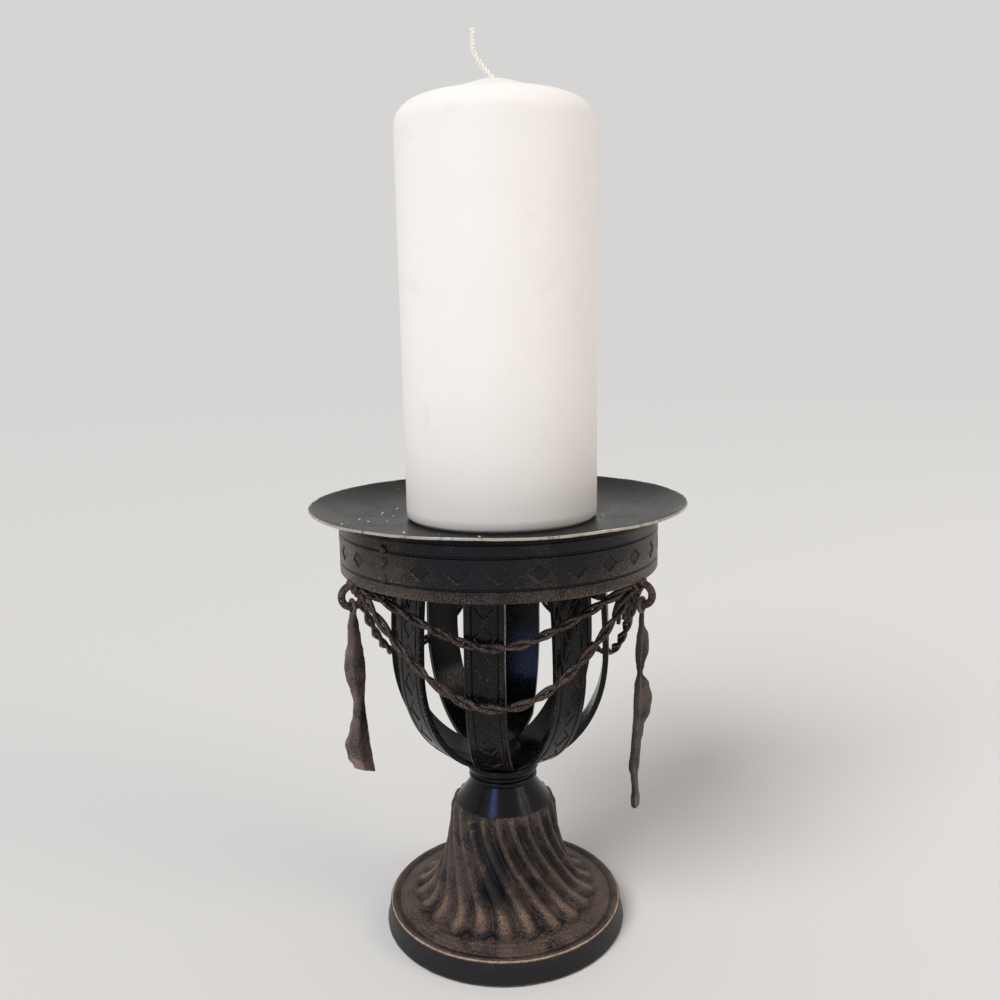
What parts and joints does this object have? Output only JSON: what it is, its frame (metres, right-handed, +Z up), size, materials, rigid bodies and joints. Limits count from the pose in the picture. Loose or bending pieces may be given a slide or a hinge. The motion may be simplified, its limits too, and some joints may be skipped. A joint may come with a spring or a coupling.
{
  "type": "candle stand",
  "caption": "Urn-shaped iron pillar-candle stand: swirled fluted foot, open strap bowl, stamped hoop, drip pan, twisted wire swags and swinging ribbon drops.",
  "frame": {"origin": "centre of the foot's underside, on the table", "axes": "+Z up along the stand's axis; the front that the picture shows faces -Y, with +X to its right"},
  "size_m": [0.1964, 0.1964, 0.47],
  "materials": {
    "cast_foot": "dark bronzed sand casting, copper rubbed on the flutes",
    "black_iron": "black lacquer with a grey-brown patina",
    "wrought_wire": "dark brown lacquer rubbed through on the strands",
    "blackened_steel": "plain black oxide",
    "candle_wax": "smooth off-white wax",
    "cotton_wick": "waxed braided cotton"
  },
  "bodies": {
    "stand": {"foot_plate": "cast_foot", "fluted_bell": "cast_foot", "neck_collar": "black_iron", "neck_ring": "black_iron", "tie_rod": "blackened_steel", "foot_washer": "blackened_steel", "foot_nut": "blackened_steel", "hub_plate": "blackened_steel", "hub_nut": "blackened_steel", "rib_1": "black_iron", "rib_2": "black_iron", "rib_3": "black_iron", "rib_4": "black_iron", "rib_5": "black_iron", "rib_6": "black_iron", "rib_7": "black_iron", "rib_8": "black_iron", "hoop": "black_iron", "hoop_seam_welds": "black_iron", "drip_pan": "black_iron", "ring_left": "wrought_wire", "ring_right": "wrought_wire", "ring_rear": "wrought_wire", "ring_welds": "black_iron", "knot_left": "wrought_wire", "knot_right": "wrought_wire", "knot_rear": "wrought_wire", "swag_upper_front": "wrought_wire", "swag_upper_right": "wrought_wire", "swag_upper_left": "wrought_wire", "swag_lower_front": "wrought_wire", "swag_lower_right": "wrought_wire", "swag_lower_left": "wrought_wire"},
    "left_drop": {"drop_left": "wrought_wire"},
    "right_drop": {"drop_right": "wrought_wire"},
    "rear_drop": {"drop_rear": "wrought_wire"},
    "candle": {"candle": "candle_wax", "wick": "cotton_wick"}
  },
  "joints": [
    {"name": "candle_lift", "type": "slide", "parent": "stand", "child": "candle", "axis": [0, 0, 1], "range_m": [0, 0.12]},
    {"name": "left_drop_swing", "type": "hinge", "parent": "stand", "child": "left_drop", "pos_m": [-0.07309, -0.03805, 0.19129], "axis": [-0.887, -0.4617, 0], "range_deg": [-50, 50]},
    {"name": "right_drop_swing", "type": "hinge", "parent": "stand", "child": "right_drop", "pos_m": [0.0695, -0.04427, 0.19129], "axis": [0.8434, -0.5373, 0], "range_deg": [-50, 50]},
    {"name": "rear_drop_swing", "type": "hinge", "parent": "stand", "child": "rear_drop", "pos_m": [0.00359, 0.08232, 0.19129], "axis": [0.0436, 0.999, 0], "range_deg": [-50, 50]}
  ]
}
